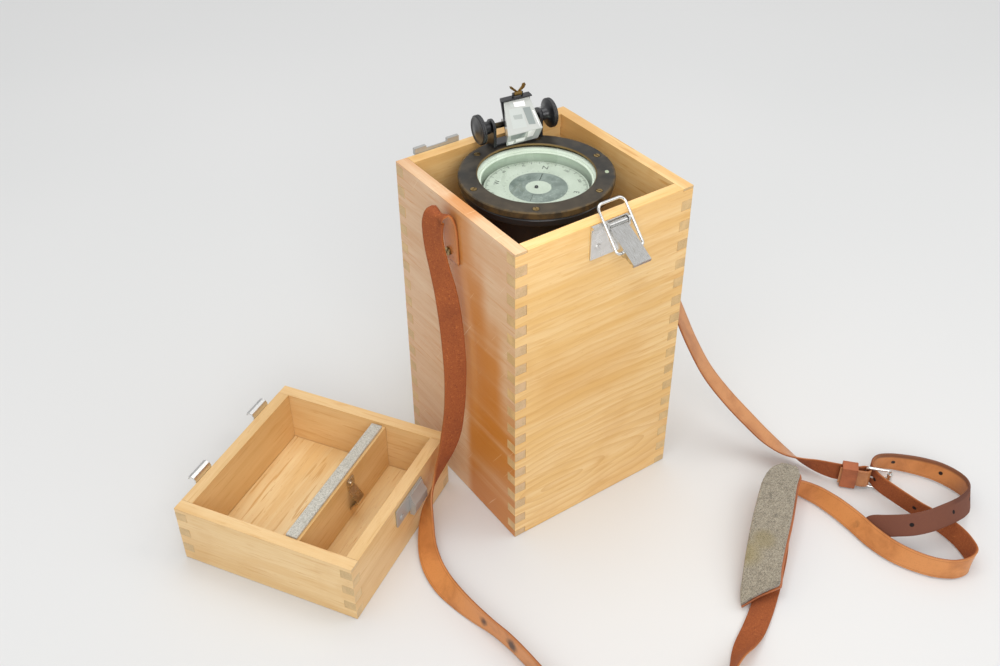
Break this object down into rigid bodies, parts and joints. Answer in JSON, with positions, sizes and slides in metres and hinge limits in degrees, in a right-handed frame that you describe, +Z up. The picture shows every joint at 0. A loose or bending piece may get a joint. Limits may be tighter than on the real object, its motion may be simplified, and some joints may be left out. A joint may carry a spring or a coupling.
{
  "type": "prismatic bearing compass in a wooden carrying case",
  "caption": "Liquid-filled bearing compass with a tilting prism sight, standing in a box-jointed wooden case with lift-off lid and leather shoulder strap.",
  "frame": {"origin": "centre of the underside of the case, on the surface it stands on", "axes": "+Z up, -Y towards the latch, the strap ends are on the -X and +X walls"},
  "size_m": [0.7135, 0.5694, 0.4032],
  "materials": {
    "honey_wood": "clear lacquer, worn",
    "board_wood": "matt lacquer",
    "felt": "pressed felt",
    "nickel": "nickel plate, scuffed",
    "chrome_wire": "polished",
    "spring_steel": "tarnished",
    "bronze": "dark patina",
    "brass": "aged",
    "black_paint": "satin black",
    "card_enamel": "matt enamel",
    "clear_glass": "clear",
    "rubber": "matt",
    "tan_leather": "oiled bridle leather"
  },
  "bodies": {
    "case": {"case_front_wall": "honey_wood", "case_back_wall": "honey_wood", "case_left_wall": "honey_wood", "case_right_wall": "honey_wood", "case_base_board": "honey_wood", "cradle_board": "board_wood", "cradle_frame": "board_wood", "cradle_felt": "felt", "hook_plate_left": "nickel", "hook_plate_right": "nickel", "latch_base": "nickel", "latch_pivot_pin": "nickel", "shoulder_strap_long": "tan_leather", "shoulder_strap_short": "tan_leather", "strap_keeper": "tan_leather", "buckle_frame": "chrome_wire", "strap_screw_left": "brass", "strap_screw_right": "brass", "pad_leather": "tan_leather", "pad_felt": "felt"},
    "lid": {"lid_front_wall": "honey_wood", "lid_back_wall": "honey_wood", "lid_left_wall": "honey_wood", "lid_right_wall": "honey_wood", "lid_top_board": "honey_wood", "lid_divider": "honey_wood", "divider_felt": "felt", "spring_clip": "spring_steel", "lid_hook_near": "nickel", "lid_hook_far": "nickel", "lid_catch": "nickel"},
    "compass": {"compass_bowl": "black_paint", "bezel_ring": "bronze", "compass_glass": "clear_glass", "glass_gasket": "rubber", "pivot_post": "brass", "expansion_diaphragm": "brass", "grip_body": "rubber", "grip_end_cap": "bronze", "sight_bracket": "black_paint", "bezel_screw_1": "brass", "bezel_screw_2": "brass", "bezel_screw_3": "brass", "bezel_screw_4": "brass", "bezel_screw_5": "brass", "bezel_screw_6": "brass"},
    "card": {"compass_card": "card_enamel", "card_float": "brass", "ring_magnet": "spring_steel", "jewel_cap": "black_paint"},
    "prism": {"sight_axle": "bronze", "left_knob": "black_paint", "right_knob": "black_paint", "sight_prism": "clear_glass", "prism_holder": "black_paint"},
    "vane": {"sight_vane": "brass"},
    "lever": {"latch_lever": "nickel"},
    "bail": {"latch_bail": "chrome_wire"},
    "buckle_pin": {"buckle_tongue": "chrome_wire"},
    "roller": {"buckle_roller": "chrome_wire"}
  },
  "joints": [
    {"name": "lid_lift", "type": "slide", "parent": "case", "child": "lid", "axis": [0, 0, 1], "range_m": [0, 0.12]},
    {"name": "compass_lift", "type": "slide", "parent": "case", "child": "compass", "axis": [0, 0, 1], "range_m": [0, 0.1]},
    {"name": "card_spin", "type": "hinge", "parent": "compass", "child": "card", "pos_m": [-0.0035, 0.0035, 0.329], "axis": [0, 0, 1], "continuous": true},
    {"name": "prism_tilt", "type": "hinge", "parent": "compass", "child": "prism", "pos_m": [0.017, 0.0678, 0.366], "axis": [0.9925, -0.1219, 0], "range_deg": [-60, 3]},
    {"name": "vane_fold", "type": "hinge", "parent": "prism", "child": "vane", "pos_m": [0.017, 0.0678, 0.3944], "axis": [0.9925, -0.1219, 0], "range_deg": [0, 80]},
    {"name": "latch_lever", "type": "hinge", "parent": "case", "child": "lever", "pos_m": [0.0065, -0.1028, 0.3415], "axis": [1, 0, 0], "range_deg": [0, 40]},
    {"name": "latch_bail", "type": "hinge", "parent": "lever", "child": "bail", "pos_m": [0.0065, -0.12266, 0.324], "axis": [1, 0, 0], "range_deg": [0, 100]},
    {"name": "buckle_pin", "type": "hinge", "parent": "case", "child": "buckle_pin", "pos_m": [0.247, -0.253, 0.0147], "axis": [0, 0, 1], "range_deg": [0, 4]},
    {"name": "roller_spin", "type": "hinge", "parent": "case", "child": "roller", "pos_m": [0.263, -0.271, 0.0145], "axis": [0, 0, 1], "continuous": true}
  ]
}
